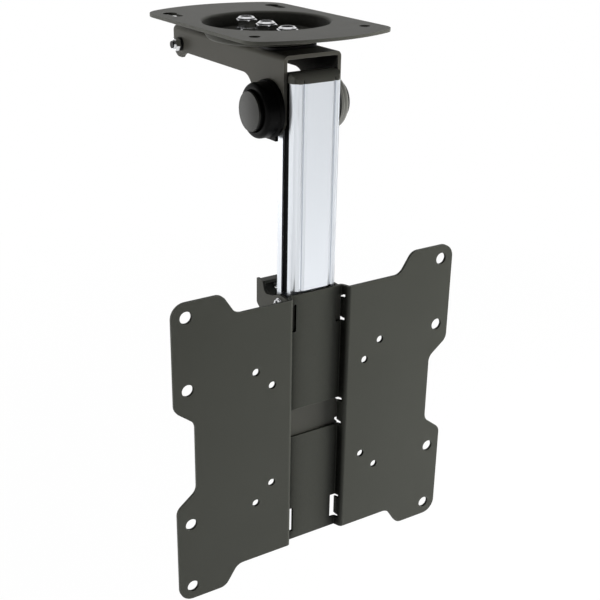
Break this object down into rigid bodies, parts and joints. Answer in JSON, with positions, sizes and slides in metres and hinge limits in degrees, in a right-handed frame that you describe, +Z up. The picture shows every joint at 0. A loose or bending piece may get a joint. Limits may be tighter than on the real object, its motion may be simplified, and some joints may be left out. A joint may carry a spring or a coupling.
{
  "type": "tv ceiling mount",
  "caption": "Fold-up ceiling mount for a small flat screen: ceiling plate with dish, swivel arm channel, drop column with release knobs and tilting screen plate",
  "frame": {"origin": "on the swivel axis, at the top face of the ceiling plate", "axes": "+Z up towards the ceiling, -Y towards the viewer of the screen, +X to the viewer's right"},
  "size_m": [0.22, 0.1707, 0.3703],
  "materials": {
    "black_coat": "fine textured dark grey powder coat",
    "bare_steel": "plain zinc plated sheet",
    "column_aluminium": "satin anodised",
    "black_plastic": "fine moulded texture",
    "grey_face": "satin",
    "nylon": "natural",
    "dark_rubber": "matte",
    "satin_zinc": "satin zinc",
    "bright_zinc": "bright zinc"
  },
  "bodies": {
    "ceiling_base": {"ceiling_plate": "black_coat"},
    "left_button": {"release_button_left": "black_plastic", "button_face_left": "grey_face", "brake_disc_left": "bright_zinc", "brake_screw_left": "bright_zinc"},
    "right_button": {"release_button_right": "black_plastic", "button_face_right": "grey_face", "brake_disc_right": "bright_zinc", "brake_screw_right": "bright_zinc"},
    "drop_column": {"column": "column_aluminium", "slot_strip_left": "black_plastic", "slot_strip_right": "black_plastic", "column_cap": "black_plastic", "hinge_bracket": "bare_steel", "tilt_spacer_left": "nylon", "tilt_spacer_right": "nylon", "hinge_screw_lower_left": "bright_zinc", "hinge_screw_lower_right": "bright_zinc", "hinge_screw_upper_left": "bright_zinc", "hinge_screw_upper_right": "bright_zinc"},
    "screen_head": {"screen_plate": "black_coat", "tilt_bracket": "black_coat", "hook_bar": "black_coat", "stop_screw_left": "satin_zinc", "stop_screw_right": "satin_zinc", "tilt_bolt": "bright_zinc", "tilt_nut": "bright_zinc", "tilt_washer_left": "bright_zinc", "tilt_washer_right": "bright_zinc"},
    "swivel_arm": {"arm_channel": "black_coat", "button_spring_left": "bright_zinc", "button_spring_right": "bright_zinc", "catch_bolt": "bright_zinc", "catch_nut": "bright_zinc", "catch_sleeve": "dark_rubber", "catch_washer_left": "dark_rubber", "catch_washer_right": "bright_zinc", "knob_housing_left": "black_plastic", "knob_housing_right": "black_plastic", "knob_screw_lower_left": "bright_zinc", "knob_screw_lower_right": "bright_zinc", "knob_screw_upper_left": "bright_zinc", "knob_screw_upper_right": "bright_zinc", "pivot_sleeve_left": "bright_zinc", "pivot_sleeve_right": "bright_zinc", "swivel_bolt_front": "bright_zinc", "swivel_bolt_middle": "bright_zinc", "swivel_bolt_rear": "bright_zinc", "swivel_nut_front": "bright_zinc", "swivel_nut_middle": "bright_zinc", "swivel_nut_rear": "bright_zinc", "swivel_pad": "nylon", "swivel_washer_front": "bright_zinc", "swivel_washer_middle": "bright_zinc", "swivel_washer_rear": "bright_zinc"}
  },
  "joints": [
    {"name": "swivel", "type": "hinge", "parent": "ceiling_base", "child": "swivel_arm", "pos_m": [0, 0, 0], "axis": [0, 0, 1], "range_deg": [-45, 45]},
    {"name": "fold", "type": "hinge", "parent": "swivel_arm", "child": "drop_column", "pos_m": [0, -0.0385, -0.0476], "axis": [1, 0, 0], "range_deg": [0, 89]},
    {"name": "tilt", "type": "hinge", "parent": "drop_column", "child": "screen_head", "pos_m": [0, -0.0546, -0.1739], "axis": [1, 0, 0], "range_deg": [0, 25]},
    {"name": "left_release", "type": "slide", "parent": "swivel_arm", "child": "left_button", "axis": [1, 0, 0], "range_m": [0, 0.0028], "stiffness_N_per_m": 500, "springref_m": -0.006, "deforming": ["button_spring_left"]},
    {"name": "right_release", "type": "slide", "parent": "swivel_arm", "child": "right_button", "axis": [-1, 0, 0], "range_m": [0, 0.002], "stiffness_N_per_m": 500, "springref_m": -0.006, "deforming": ["button_spring_right"]}
  ]
}
